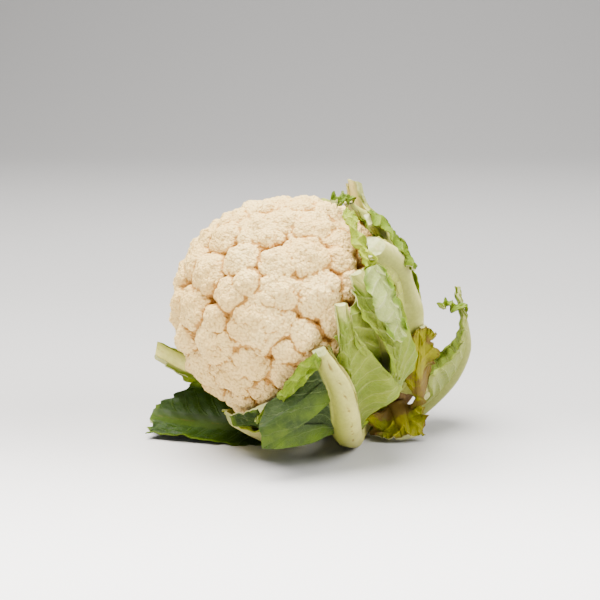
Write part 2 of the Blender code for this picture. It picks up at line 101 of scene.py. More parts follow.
def node(tree, kind, inputs=None, **settings):
    made = tree.nodes.new(kind)
    for key, value in settings.items():
        setattr(made, key, value)
    for key, value in (inputs or {}).items():
        socket = made.inputs[key]
        if isinstance(value, bpy.types.NodeSocket):
            tree.links.new(value, socket)
        else:
            socket.default_value = value
    return made


def math2(tree, operation, a, b=None, c=None, clamp=False):
    made = tree.nodes.new("ShaderNodeMath")
    made.operation = operation
    made.use_clamp = clamp
    for i, value in enumerate((a, b, c)):
        if value is None:
            continue
        if isinstance(value, bpy.types.NodeSocket):
            tree.links.new(value, made.inputs[i])
        else:
            made.inputs[i].default_value = value
    return made.outputs[0]


def ease(tree, value, low, high, toLow=0.0, toHigh=1.0):
    return node(
        tree, "ShaderNodeMapRange", {0: value, 1: low, 2: high, 3: toLow, 4: toHigh},
        interpolation_type="SMOOTHSTEP"
    ).outputs[0]


def blendColour(tree, share, a, b, how="MIX"):
    made = node(tree, "ShaderNodeMix", data_type="RGBA", blend_type=how)
    for index, value in ((0, share), (6, a), (7, b)):
        if isinstance(value, bpy.types.NodeSocket):
            tree.links.new(value, made.inputs[index])
        else:
            made.inputs[index].default_value = value
    return made.outputs[2]


def newGroup(name, inputs, outputs):
    tree = bpy.data.node_groups.new(name, "ShaderNodeTree")
    for label, kind, value in inputs:
        socket = tree.interface.new_socket(label, in_out="INPUT", socket_type=kind)
        if value is not None:
            socket.default_value = value
    for label, kind in outputs:
        tree.interface.new_socket(label, in_out="OUTPUT", socket_type=kind)
    return tree, tree.nodes.new("NodeGroupInput"), tree.nodes.new("NodeGroupOutput")


def newMaterial(name):
    material = bpy.data.materials.new(name)
    material.use_nodes = True
    return material, material.node_tree, material.node_tree.nodes["Principled BSDF"]


# lines that leave the midrib at a slant and curve towards the margin, with a fine net between them
veinGroup, gin, gout = newGroup(
    "leafVeins",
    [("Spacing", "NodeSocketFloat", 11.0), ("Slant", "NodeSocketFloat", 0.85)],
    [("Main", "NodeSocketFloat"), ("Net", "NodeSocketFloat")],
)
t = veinGroup
uv = node(t, "ShaderNodeUVMap", uv_map="leafMap").outputs[0]
wobble = node(
    t, "ShaderNodeTexNoise", {"Vector": uv, "Scale": 5.0, "Detail": 2.0}, noise_dimensions="2D"
).outputs["Color"]
wobble = node(t, "ShaderNodeVectorMath", {0: wobble, 1: (0.5, 0.5, 0.5)}, operation="SUBTRACT").outputs[0]
bent = node(
    t, "ShaderNodeVectorMath", {0: wobble, 1: (0.055, 0.055, 0.0), 2: uv}, operation="MULTIPLY_ADD"
).outputs[0]
apart = node(t, "ShaderNodeSeparateXYZ", {0: bent})
along = math2(t, "MULTIPLY", apart.outputs[0], 100.0)
across = math2(t, "MULTIPLY", apart.outputs[1], 100.0)
away = math2(t, "ABSOLUTE", across)
offset = math2(t, "MULTIPLY", math2(t, "SIGN", across), 2.7)
start = math2(t, "SUBTRACT", math2(t, "ADD", along, offset), math2(t, "MULTIPLY", away, gin.outputs["Slant"]))
start = math2(t, "ADD", start, math2(t, "MULTIPLY", math2(t, "MULTIPLY", away, away), 0.008))
near = math2(t, "PINGPONG", start, math2(t, "MULTIPLY", gin.outputs["Spacing"], 0.5))
width = ease(t, away, 0.0, 45.0, 1.0, 0.4)
t.links.new(
    math2(t, "SUBTRACT", 1.0, ease(t, math2(t, "DIVIDE", near, width), 0.25, 1.25)), gout.inputs["Main"]
)
# side branches of the veins
start2 = math2(t, "ADD", along, math2(t, "MULTIPLY", away, 1.5))
near2 = math2(t, "PINGPONG", start2, 4.2)
branch = math2(t, "SUBTRACT", 1.0, ease(t, near2, 0.15, 0.7))
cells = node(
    t, "ShaderNodeTexVoronoi", {"Vector": bent, "Scale": 24.0, "Randomness": 1.0},
    feature="DISTANCE_TO_EDGE", voronoi_dimensions="2D"
).outputs["Distance"]
net = math2(t, "SUBTRACT", 1.0, ease(t, cells, 0.015, 0.1))
net = math2(t, "MAXIMUM", net, math2(t, "MULTIPLY", branch, 0.6))
t.links.new(net, gout.inputs["Net"])


def srgb(r, g, b):
    return tuple(
        (c / 12.92 if c <= 0.04045 else ((c + 0.055) / 1.055) ** 2.4) for c in (r / 255, g / 255, b / 255)
    ) + (1.0,)


def leafMaterial(
    name, blade, blotch, vein, rib, margin, inner, gloss=0.48, veins=0.4, withered=0.0, spotted=0.25,
    marginFrom=0.84
):
    material, t, shader = newMaterial(name)
    marks = node(t, "ShaderNodeAttribute", attribute_name="leafMarks")
    parts = node(t, "ShaderNodeSeparateColor", {0: marks.outputs["Color"]})
    ribShare, edgeShare, innerShare = parts.outputs[0], parts.outputs[1], parts.outputs[2]
    place = node(t, "ShaderNodeTexCoord").outputs["Object"]
    group = node(t, "ShaderNodeGroup", node_tree=veinGroup)
    patches = node(
        t, "ShaderNodeTexNoise", {"Vector": place, "Scale": 32.0, "Detail": 4.0, "Roughness": 0.6}
    ).outputs[0]
    fine = node(t, "ShaderNodeTexNoise", {"Vector": place, "Scale": 420.0, "Detail": 3.0}).outputs[0]
    skin = blendColour(t, ease(t, patches, 0.38, 0.66), blade, blotch)
    skin = blendColour(t, math2(t, "MULTIPLY", innerShare, 0.85), skin, inner)
    shown = ease(t, innerShare, 0.0, 1.0, veins, 0.4 * veins)
    skin = blendColour(
        t, math2(t, "MULTIPLY", math2(t, "MULTIPLY", group.outputs["Net"], 0.38), shown), skin, vein
    )
    skin = blendColour(t, math2(t, "MULTIPLY", group.outputs["Main"], shown), skin, vein)
    edgeTint = math2(t, "MULTIPLY", ease(t, edgeShare, marginFrom, 1.0), ease(t, patches, 0.36, 0.6))
    skin = blendColour(t, edgeTint, skin, margin)
    ribTint = node(t, "ShaderNodeTexNoise", {"Vector": place, "Scale": 60.0, "Detail": 3.0}).outputs[0]
    across = node(
        t, "ShaderNodeSeparateXYZ", {0: node(t, "ShaderNodeUVMap", uv_map="leafMap").outputs[0]}
    ).outputs[1]
    # painted shade: the rib is darker on its negative-across side and lighter on the other, as if lit from
    # one side; noise also mixes in the darker copy at random
    paintedRibShade = tuple(a * b for a, b in zip(rib, (0.48, 0.53, 0.3, 1.0)))
    ribSkin = blendColour(t, ease(t, across, -0.07, 0.03), paintedRibShade, rib)
    ribSkin = blendColour(t, ease(t, ribTint, 0.35, 0.7, 0.0, 0.4), ribSkin, paintedRibShade)
    line = math2(t, "SUBTRACT", 1.0, ease(t, math2(t, "ABSOLUTE", across), 0.002, 0.012))
    spots = node(t, "ShaderNodeTexNoise", {"Vector": place, "Scale": 240.0, "Detail": 3.0}).outputs[0]
    ribSkin = blendColour(
        t, math2(t, "MULTIPLY", line, ease(t, spots, 0.5, 0.62, 0.0, spotted)), ribSkin, srgb(122, 92, 40)
    )
    skin = blendColour(t, ease(t, ribShare, 0.25, 0.8), skin, ribSkin)
    if withered > 0.0:
        dry = node(
            t, "ShaderNodeTexNoise", {"Vector": place, "Scale": 70.0, "Detail": 5.0, "Roughness": 0.65}
        ).outputs[0]
        worn = math2(
            t, "MAXIMUM", math2(t, "MULTIPLY", edgeShare, 0.16),
            math2(t, "MULTIPLY", marks.outputs["Alpha"], 0.3)
        )
        share = math2(t, "MULTIPLY", ease(t, math2(t, "ADD", dry, worn), 0.56, 0.7), withered)
        skin = blendColour(t, share, skin, (0.16, 0.085, 0.025, 1.0))
    speck = ease(t, fine, 0.3, 0.75, 0.74, 0.88)
    skin = blendColour(
        t, 1.0, skin, node(t, "ShaderNodeCombineColor", {0: speck, 1: speck, 2: speck}).outputs[0], "MULTIPLY"
    )
    t.links.new(skin, shader.inputs["Base Color"])
    t.links.new(ease(t, fine, 0.3, 0.7, gloss - 0.05, gloss + 0.1), shader.inputs["Roughness"])
    shader.inputs["Specular IOR Level"].default_value = 0.12
    shader.inputs["Subsurface Weight"].default_value = 0.12
    shader.inputs["Subsurface Radius"].default_value = (0.6, 1.0, 0.25)
    shader.inputs["Subsurface Scale"].default_value = 0.0015
    blistered = node(t, "ShaderNodeTexNoise", {"Vector": place, "Scale": 150.0, "Detail": 3.0}).outputs[0]
    height = math2(
        t, "ADD", math2(t, "MULTIPLY", group.outputs["Main"], 0.5),
        math2(t, "MULTIPLY", group.outputs["Net"], 0.16)
    )
    height = math2(t, "MULTIPLY", height, math2(t, "SUBTRACT", 1.0, ease(t, ribShare, 0.1, 0.6)))
    height = math2(t, "ADD", height, math2(t, "MULTIPLY", blistered, 0.55))
    bump = node(t, "ShaderNodeBump", {"Strength": 0.75, "Distance": 0.0009, "Height": height})
    t.links.new(bump.outputs[0], shader.inputs["Normal"])
    return material


leafSkins = {
    "green": leafMaterial(
        "leafGreen", srgb(132, 146, 48), srgb(108, 128, 34), srgb(164, 172, 88), srgb(208, 204, 120),
        srgb(142, 162, 20), srgb(112, 134, 30)
    ),
    # darker green for the front leaf: partly its own deeper colour, partly painted shade
    "deep": leafMaterial(
        "leafDeep", srgb(54, 70, 30), srgb(40, 56, 18), srgb(100, 116, 66), srgb(206, 200, 112),
        srgb(86, 110, 22), srgb(44, 60, 26), spotted=0.75
    ),
    "dark": leafMaterial(
        "leafDark", srgb(48, 66, 4), srgb(34, 54, 2), srgb(84, 104, 34), srgb(54, 74, 8), srgb(84, 106, 10),
        srgb(36, 60, 2), gloss=0.5
    ),
    "cream": leafMaterial(
        "leafCream", srgb(196, 200, 96), srgb(176, 184, 70), srgb(214, 212, 130), srgb(244, 240, 180),
        srgb(168, 178, 40), srgb(230, 226, 160)
    ),
    "flap": leafMaterial(
        "leafFlap", srgb(170, 182, 104), srgb(148, 164, 78), srgb(204, 208, 150), srgb(196, 202, 130),
        srgb(112, 144, 8), srgb(150, 168, 70), marginFrom=0.5
    ),
    "moss": leafMaterial(
        "leafMoss", srgb(112, 134, 20), srgb(88, 112, 12), srgb(146, 160, 60), srgb(140, 154, 50),
        srgb(92, 106, 8), srgb(104, 126, 16)
    ),
    "lime": leafMaterial(
        "leafLime", srgb(164, 176, 44), srgb(140, 158, 28), srgb(186, 190, 90), srgb(188, 190, 84),
        srgb(150, 168, 16), srgb(150, 166, 30)
    ),
    "pale": leafMaterial(
        "leafPale", srgb(182, 184, 84), srgb(160, 168, 60), srgb(198, 196, 112), srgb(224, 218, 140),
        srgb(168, 178, 40), srgb(166, 174, 60)
    ),
    "outer": leafMaterial(
        "leafOuter", srgb(158, 164, 84), srgb(134, 146, 60), srgb(184, 186, 116), srgb(206, 204, 138),
        srgb(136, 152, 34), srgb(112, 134, 36)
    ),
    "yellow": leafMaterial(
        "leafOld", srgb(138, 134, 0), srgb(108, 112, 0), srgb(168, 158, 20), srgb(154, 144, 16),
        srgb(116, 96, 10), srgb(140, 134, 0), gloss=0.55, withered=0.8
    ),
}


def cutMaterial():
    material, t, shader = newMaterial("cutFace")
    place = node(t, "ShaderNodeTexCoord").outputs["Object"]
    grain = node(t, "ShaderNodeTexNoise", {"Vector": place, "Scale": 300.0, "Detail": 4.0}).outputs[0]
    stain = node(t, "ShaderNodeTexNoise", {"Vector": place, "Scale": 90.0, "Detail": 3.0}).outputs[0]
    skin = blendColour(t, ease(t, grain, 0.4, 0.65), srgb(182, 184, 118), srgb(156, 162, 88))
    skin = blendColour(t, math2(t, "MULTIPLY", ease(t, stain, 0.52, 0.72), 0.5), skin, srgb(186, 170, 110))
    t.links.new(skin, shader.inputs["Base Color"])
    shader.inputs["Roughness"].default_value = 0.42
    bump = node(t, "ShaderNodeBump", {"Strength": 0.4, "Distance": 0.0006, "Height": grain})
    t.links.new(bump.outputs[0], shader.inputs["Normal"])
    return material


cutSkin = cutMaterial()


def curdMaterial():
    material, t, shader = newMaterial("curdSkin")
    parts = node(
        t, "ShaderNodeSeparateColor",
        {0: node(t, "ShaderNodeAttribute", attribute_name="curdMarks").outputs["Color"]}
    )
    paintedPitShade, depth, branch = parts.outputs[0], parts.outputs[1], parts.outputs[2]
    place = node(t, "ShaderNodeTexCoord").outputs["Object"]
    patches = node(t, "ShaderNodeTexNoise", {"Vector": place, "Scale": 22.0, "Detail": 3.0}).outputs[0]
    warp = node(t, "ShaderNodeTexNoise", {"Vector": place, "Scale": 300.0, "Detail": 1.0}).outputs["Color"]
    shifted = node(
        t, "ShaderNodeVectorMath", {0: warp, 1: (0.0012, 0.0012, 0.0012), 2: place}, operation="MULTIPLY_ADD"
    ).outputs[0]
    grains = node(
        t, "ShaderNodeTexVoronoi", {"Vector": shifted, "Scale": 560.0}, feature="F1"
    ).outputs["Distance"]
    grains = math2(t, "MULTIPLY", grains, grains)
    skin = blendColour(t, ease(t, patches, 0.35, 0.7), srgb(242, 212, 140), srgb(230, 194, 118))
    # painted shade: the skin darkens in the small gaps between grains
    skin = blendColour(t, math2(t, "MULTIPLY", ease(t, grains, 0.2, 0.5), 0.6), skin, srgb(204, 164, 94))
    # painted shade: pits, seams between florets and deep hollows are darkened to warm brown
    skin = blendColour(t, math2(t, "MULTIPLY", ease(t, paintedPitShade, 0.05, 0.8), 0.95), skin, srgb(184, 134, 58))
    skin = blendColour(t, math2(t, "MULTIPLY", ease(t, depth, 0.4, 1.0), 0.9), skin, srgb(138, 90, 30))
    skin = blendColour(t, branch, skin, srgb(222, 218, 168))
    t.links.new(skin, shader.inputs["Base Color"])
    shader.inputs["Roughness"].default_value = 0.62
    shader.inputs["Specular IOR Level"].default_value = 0.3
    shader.inputs["Subsurface Weight"].default_value = 0.12
    shader.inputs["Subsurface Radius"].default_value = (1.0, 0.75, 0.45)
    shader.inputs["Subsurface Scale"].default_value = 0.001
    fine = node(t, "ShaderNodeTexNoise", {"Vector": place, "Scale": 900.0, "Detail": 2.0}).outputs[0]
    height = math2(t, "ADD", math2(t, "MULTIPLY", grains, -1.0), math2(t, "MULTIPLY", fine, 0.25))
    bump = node(t, "ShaderNodeBump", {"Strength": 0.9, "Distance": 0.0011, "Height": height})
    t.links.new(bump.outputs[0], shader.inputs["Normal"])
    return material


def stalkMaterial():
    material, t, shader = newMaterial("stalkSkin")
    place = node(t, "ShaderNodeTexCoord").outputs["Object"]
    patches = node(
        t, "ShaderNodeTexNoise", {"Vector": place, "Scale": 55.0, "Detail": 5.0, "Roughness": 0.65}
    ).outputs[0]
    fine = node(t, "ShaderNodeTexNoise", {"Vector": place, "Scale": 380.0, "Detail": 4.0}).outputs[0]
    skin = blendColour(t, ease(t, patches, 0.38, 0.62), srgb(150, 122, 66), srgb(104, 72, 34))
    skin = blendColour(t, ease(t, fine, 0.5, 0.75, 0.0, 0.5), skin, srgb(92, 62, 30))
    t.links.new(skin, shader.inputs["Base Color"])
    shader.inputs["Roughness"].default_value = 0.68
    bump = node(t, "ShaderNodeBump", {"Strength": 0.8, "Distance": 0.0012, "Height": fine})
    t.links.new(bump.outputs[0], shader.inputs["Normal"])
    return material


say("materials")

# curd

curdSettings = {
    "points": 23,
    "domeShare": 0.90,
    "domeLow": -0.28,
    "reach": 0.67,
    "core": 9.0,
    "fill": (22.0, 32.0),
    "crowding": 0.80,
    "lowestTilt": 101.0,
    "proud": 0.6,
    "lobes": (12.5, 8.4, 0.86),
    "buds": (5.2, 3.4, 0.82),
    "grains": (2.2, 1.3),
    "seam": (0.9, 1.1, 1.2),
}
largeFlorets = (
    (-19, 55, 46), (-58, 48, 36), (-89, 62, 32), (-60, 68, 34), (-42, 67, 24), (-16, 34, 23), (4, 54, 29),
    (1, 38, 18), (13, 73, 34), (22, 48, 24), (32, 61, 31), (57, 63, 36), (63, 49, 24), (58, 35, 34),
    (75, 18, 26), (37, 78, 20), (-25, 11, 30), (-75, 26, 31), (-11, 77, 21), (-22, 75, 16), (-33, 82, 24),
    (-50, 84, 20), (-69, 84, 18), (21, 28, 24), (48, 77, 22), (-94, 43, 22), (-43, 37, 17),
)


def floretLayout():
    s = curdSettings
    turn, tilt, width = np.array(largeFlorets, float).T
    turn, tilt = np.radians(turn), np.radians(tilt)
    chosen = list(
        zip(
            np.stack((np.cos(turn) * np.sin(tilt), np.sin(turn) * np.sin(tilt), np.cos(tilt)), axis=-1), width
        )
    )
    draw = np.random.default_rng(7)
    for spot in spiral(900, math.cos(math.radians(s["lowestTilt"])), 0.999):
        width = draw.uniform(*s["fill"])
        if all(
            head["radius"] * math.acos(min(1.0, spot @ other)) > s["crowding"] * (width + size) / 2.0
            for other,
            size in chosen
        ):
            chosen.append((spot, width))
    return np.array([c[0] for c in chosen]), np.array([c[1] for c in chosen])


def raiseOver(distance, rays, tree, centres, radii):
    # each ball lifts the skin where it stands out furthest
    for ball, radius in zip(centres, radii):
        far = np.linalg.norm(ball)
        reach = radius / far
        found = tree.find_range(ball / far, reach * 1.05)
        if not found:
            continue
        index = np.fromiter((hit[1] for hit in found), int, len(found))
        along = rays[index] @ ball
        inside = radius**2 - (far**2 - along**2)
        farSide = np.where(inside > 0.0, along + np.sqrt(np.maximum(inside, 0.0)), 0.0)
        distance[index] = np.maximum(distance[index], farSide)


def knobs(centres, radii, spacing, knobRadius, sunk, draw):
    made = []
    for ball, radius in zip(centres, radii):
        count = max(6, round(4.0 * math.pi * radius**2 / spacing**2))
        ways = unit(spiral(count, -0.99, 0.99) + draw.normal(0.0, 0.22 * spacing / radius, (count, 3)))
        outward = ways @ unit(ball)
        ways = ways[outward > 0.1]
        made.append(ball + ways * (radius - sunk * knobRadius))
    return np.concatenate(made)


def makeCurd():
    s = curdSettings
    bpy.ops.mesh.primitive_ico_sphere_add(subdivisions=3, radius=1.0)
    curd = bpy.context.object
    curd.name = curd.data.name = "curdFine"
    bpy.ops.object.mode_set(mode="EDIT")
    bpy.ops.mesh.select_all(action="SELECT")
    bpy.ops.mesh.subdivide(number_cuts=s["points"])
    bpy.ops.object.mode_set(mode="OBJECT")
    mesh = curd.data
    count = len(mesh.vertices)
    rays = np.empty(count * 3)
    mesh.vertices.foreach_get("co", rays)
    rays = unit(rays.reshape(-1, 3))
    # more of the points go to the dome
    share = (1.0 - rays[:, 2]) / 2.0
    knots = np.array((0.0, s["domeShare"], 1.0))
    height = np.interp(share, knots, (1.0, s["domeLow"], -1.0))
    ring = np.sqrt(np.maximum(0.0, 1.0 - height**2)) / np.maximum(np.sqrt(1.0 - rays[:, 2] ** 2), 1e-9)
    rays = unit(np.stack((rays[:, 0] * ring, rays[:, 1] * ring, height), axis=-1))
    tree = kdtree.KDTree(count)
    for i, ray in enumerate(rays):
        tree.insert(ray, i)
    tree.balance()
    ends = np.empty(len(mesh.edges) * 2, int)
    mesh.edges.foreach_get("vertices", ends)
    a, b = ends.reshape(-1, 2).T
    degree = np.bincount(a, minlength=count) + np.bincount(b, minlength=count)

    def soften(values, steps):
        for _ in range(steps):
            values = (np.bincount(a, values[b], count) + np.bincount(b, values[a], count)) / degree
        return values

    draw = np.random.default_rng(3)
    spots, widths = floretLayout()
    radii = s["reach"] * widths
    centres = spots * (head["radius"] + s["proud"] - radii)[:, None]
    floretSkin = np.full(count, head["radius"] - s["core"])
    raiseOver(floretSkin, rays, tree, centres, radii)
    lobes = knobs(centres, radii, *s["lobes"], draw)
    lobeRadii = s["lobes"][1] * draw.uniform(0.9, 1.06, len(lobes))
    lobeSkin = floretSkin.copy() - 0.4
    raiseOver(lobeSkin, rays, tree, lobes, lobeRadii)
    buds = knobs(lobes, lobeRadii, *s["buds"], draw)
    outermost = np.linalg.norm(buds, axis=1)
    nearSkin = np.array([lobeSkin[tree.find(ball)[1]] for ball in unit(buds)])
    buds = buds[outermost + s["buds"][1] > nearSkin - 1.0]
    budSkin = lobeSkin - 0.35
    raiseOver(budSkin, rays, tree, buds, s["buds"][1] * draw.uniform(0.8, 1.15, len(buds)))
    seam = smooth((soften(floretSkin, 20) - floretSkin - s["seam"][0]) / s["seam"][1])
    dome = budSkin - s["seam"][2] * seam
    # grains on all that shows
    grainCount = round(4.0 * math.pi * head["radius"] ** 2 / s["grains"][0] ** 2)
    seeds = unit(
        spiral(grainCount, -1.0, 1.0)
        + draw.normal(0.0, 0.35 * s["grains"][0] / head["radius"], (grainCount, 3))
    )
    seeds = seeds[seeds[:, 2] > s["domeLow"]]
    surface = np.array([dome[tree.find(seed)[1]] for seed in seeds])
    grainTree = kdtree.KDTree(len(seeds))
    for i, place in enumerate(seeds * surface[:, None]):
        grainTree.insert(place, i)
    grainTree.balance()
    away = np.array([grainTree.find(place)[2] for place in rays * dome[:, None]])
    dome = dome + np.sqrt(np.maximum(0.0, s["grains"][1] ** 2 - away**2)) * 0.3 - 0.25
    below = np.degrees(np.arcsin(np.clip(-rays[:, 2], 0.0, 1.0)))
    turn = np.arctan2(rays[:, 1], rays[:, 0])
    branch = np.interp(below, (0, 22, 44, 66, 90), (head["radius"], 75.0, 62.0, 54.5, 50.0))
    branch = branch + 1.6 * np.sin(11.0 * turn) * smooth(below / 20.0) * smooth((62.0 - below) / 20.0)
    branch = np.where(
        below > 60.0, np.minimum(branch, 50.0 / np.maximum(np.sin(np.radians(below)), 0.5)), branch
    )
    lower = smooth((below - 6.0) / 12.0)
    distance = dome * (1.0 - lower) + branch * lower
    points = (rays * distance[:, None]) @ np.stack((front, up, axis)) * head["stretch"] + centre
    mesh.vertices.foreach_set("co", (points * mm).ravel())
    # how far each place lies below what is round it; these marks paint shade into the creases, seams and
    # hollows
    close = soften(distance, 15)
    level = soften(close, 45)
    paintedPitShade = smooth((close - distance - 0.25) / 0.6) * 0.8 + smooth((level - distance - 1.0) / 2.2) * 0.45
    deep = np.maximum(0.9 * seam, smooth((head["radius"] - distance - 5.0) / 5.0))
    setMark(
        mesh, "curdMarks", np.stack((np.clip(paintedPitShade, 0, 1) * (1 - lower), deep * (1 - lower), lower), axis=-1)
    )
    mesh.update()
    mesh.materials.clear()
    mesh.materials.append(curdMaterial())
    bpy.ops.object.shade_smooth()
    curd.select_set(False)
    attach(curd, "root")
    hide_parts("curd")
    say(f"curd: {len(mesh.polygons)} faces, {len(buds)} buds")
    return curd


curd = makeCurd()


def treeOf(piece):
    work = bmesh.new()
    work.from_mesh(piece.data)
    tree = BVHTree.FromBMesh(work)
    work.free()
    return tree


def newPiece(name, points, faces, materials, faceMaterial=None):
    mesh = bpy.data.meshes.new(name)
    mesh.from_pydata((points * mm).tolist(), [], faces)
    for material in materials:
        mesh.materials.append(material)
    if faceMaterial is not None:
        mesh.polygons.foreach_set("material_index", faceMaterial)
    work = bmesh.new()
    work.from_mesh(mesh)
    bmesh.ops.recalc_face_normals(work, faces=work.faces)
    work.to_mesh(mesh)
    work.free()
    mesh.shade_smooth()
    piece = bpy.data.objects.new(name, mesh)
    bpy.context.scene.collection.objects.link(piece)
    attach(piece, "root")
    return piece


# stalk

stalkSettings = {
    "stops": ((-51.2, 18.0), (-60.0, 19.5), (-78.0, 21.0), (-96.0, 23.0), (-108.0, 23.5), (-110.0, 21.5)),
    "sag": 8.0,
    "sides": 72,
    "rings": 48,
    "rough": 0.5,
}


def stalkCentre(along):
    stops = stalkSettings["stops"]
    share = np.clip((stops[0][0] - np.asarray(along, float)) / (stops[0][0] - stops[-1][0]), 0.0, 1.0)
    return centre + np.multiply.outer(along, axis) - np.multiply.outer(stalkSettings["sag"] * share**2, up)


def stalkRadius(along):
    heights, radii = zip(*stalkSettings["stops"][::-1])
    return np.interp(along, heights, radii)


def makeStalk():
    s = stalkSettings
    first, last = s["stops"][0][0], s["stops"][-1][0]
    along = np.linspace(first, last, s["rings"])
    turn = np.arange(s["sides"]) * 2.0 * math.pi / s["sides"]
    draw = np.random.default_rng(11)
    radius = stalkRadius(along)[:, None] - 0.2 + np.zeros(len(turn))
    for wave in (3, 5, 8, 13, 21):
        radius = radius + s["rough"] * 2.0 / wave * np.sin(
            wave * turn + draw.uniform(0, 6.3) + np.outer(along, [0.06 * wave / 3])
        )
    radius = np.minimum(radius, stalkRadius(along)[:, None] + 0.3)
    rings = stalkCentre(along)[:, None] + radius[:, :, None] * (
        np.outer(np.cos(turn), front) + np.outer(np.sin(turn), up)
    )
    face = []
    for share in (0.86, 0.6, 0.3):
        ring = stalkCentre(last) + share * (
            rings[-1] - stalkCentre(last)
        ) + axis * (1.2 * (1 - share)) * draw.uniform(0.4, 1.4, (len(turn), 1))
        face.append(ring)
    points = np.concatenate(
        (rings.reshape(-1, 3), *face, [stalkCentre(first)], [stalkCentre(last) + axis * 2.0])
    )
    faces, kinds = [], []
    count, total = len(turn), s["rings"] + 3
    for i in range(count):
        j = (i + 1) % count
        for ring in range(total - 1):
            faces.append((ring * count + i, ring * count + j, (ring + 1) * count + j, (ring + 1) * count + i))
            kinds.append(0)
        faces.append((i, j, len(points) - 2))
        faces.append(((total - 1) * count + i, (total - 1) * count + j, len(points) - 1))
        kinds += [0, 0]
    stalk = newPiece("stalkFine", points, faces, [stalkMaterial()], kinds)
    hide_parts("stalk")
    return stalk


stalk = makeStalk()
trees = [treeOf(curd), treeOf(stalk)]
say("stalk")

# leaves

grid = {"rows": 96, "rib": 6, "blade": 30, "walk": 24, "gap": 0.7, "rounds": 2, "easing": 40, "root": 0.5}


def leaf(name, route, before, after, **more):
    shape = {
        "name": name, "route": route, "before": before, "after": after, "on_table": False,
        "rib": (17, 13), "ridge": (8, 5), "cup": (88, 88), "curl": (0, 0), "wave": (2, 2.2, 0), "ragged": 2,
        "taper": (0.15, 0.15), "bare": (0, 0), "shoulder": (0.12, 0.12), "grip": 0.16, "faces": (0, 0, 84),
        "foot_gap": 0.4, "search": 45, "kind": "green", "ruffle": 1.0, "far": False, "loose": "", "late": 1.0,
    }
    shape.update(more)
    return shape


